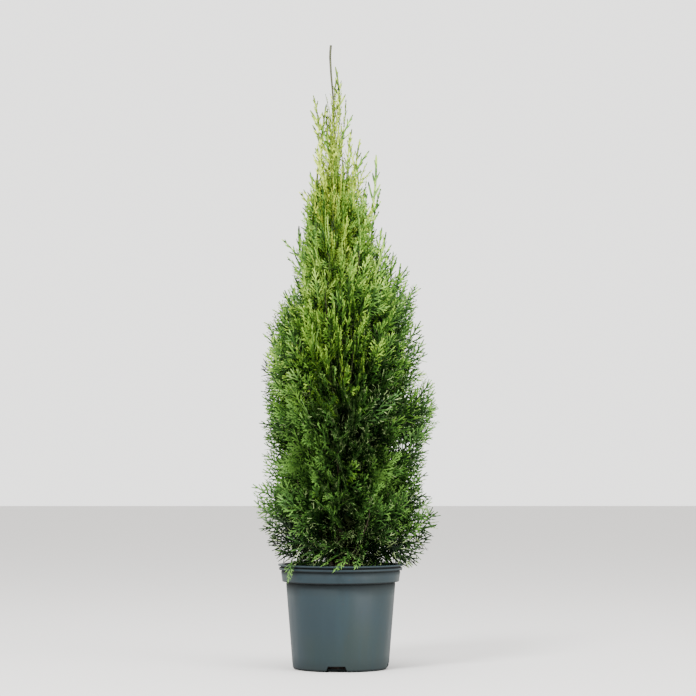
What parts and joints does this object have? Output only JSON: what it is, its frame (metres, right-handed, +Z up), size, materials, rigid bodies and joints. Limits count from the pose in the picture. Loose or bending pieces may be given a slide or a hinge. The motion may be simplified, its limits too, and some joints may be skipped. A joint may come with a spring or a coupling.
{
  "type": "potted arborvitae",
  "caption": "Young columnar evergreen conifer with a pointed crown of flat scaly sprays, planted in a tapered round nursery pot with a collar and a grooved lip.",
  "frame": {"origin": "middle of the pot's flat underside, on the ground", "axes": "+Z up along the tree; -Y towards the front, the side that the picture shows; +X to the right as seen from the front"},
  "size_m": [0.4078, 0.3842, 1.372],
  "materials": {
    "pot_plastic": "satin, blue-grey",
    "growing_mix": "loose and matte, dark brown",
    "bark": "matte, fibrous, red-brown",
    "skirt_foliage": "satin, deep green",
    "lower_foliage": "satin, deep green",
    "middle_foliage": "satin, emerald green",
    "upper_foliage": "satin, bright green",
    "spire_foliage": "satin, yellow-green",
    "leader_foliage": "satin, light yellow-green"
  },
  "bodies": {
    "root": {"pot": "pot_plastic", "growing_mix": "growing_mix", "trunk": "bark", "skirt_bough_1": "bark", "skirt_bough_2": "bark", "skirt_bough_3": "bark", "skirt_bough_4": "bark", "skirt_bough_5": "bark", "lower_bough_1": "bark", "lower_bough_2": "bark", "lower_bough_3": "bark", "lower_bough_4": "bark", "lower_bough_5": "bark", "middle_bough_1": "bark", "middle_bough_2": "bark", "middle_bough_3": "bark", "middle_bough_4": "bark", "middle_bough_5": "bark", "middle_bough_6": "bark", "upper_bough_1": "bark", "upper_bough_2": "bark", "upper_bough_3": "bark", "upper_bough_4": "bark", "upper_bough_5": "bark", "upper_bough_6": "bark", "upper_bough_7": "bark", "skirt_foliage_1": "skirt_foliage", "skirt_foliage_2": "skirt_foliage", "skirt_foliage_3": "skirt_foliage", "skirt_foliage_4": "skirt_foliage", "skirt_foliage_5": "skirt_foliage", "lower_foliage_1": "lower_foliage", "lower_foliage_2": "lower_foliage", "lower_foliage_3": "lower_foliage", "lower_foliage_4": "lower_foliage", "lower_foliage_5": "lower_foliage", "middle_foliage_1": "middle_foliage", "middle_foliage_2": "middle_foliage", "middle_foliage_3": "middle_foliage", "middle_foliage_4": "middle_foliage", "middle_foliage_5": "middle_foliage", "middle_foliage_6": "middle_foliage", "upper_foliage_1": "upper_foliage", "upper_foliage_2": "upper_foliage", "upper_foliage_3": "upper_foliage", "upper_foliage_4": "upper_foliage", "upper_foliage_5": "upper_foliage", "upper_foliage_6": "upper_foliage", "upper_foliage_7": "upper_foliage", "spire_foliage_1": "spire_foliage", "spire_foliage_2": "spire_foliage", "spire_foliage_3": "spire_foliage", "spire_foliage_4": "spire_foliage", "spire_foliage_5": "spire_foliage", "spire_foliage_6": "spire_foliage", "leader_foliage": "leader_foliage"}
  },
  "joints": []
}
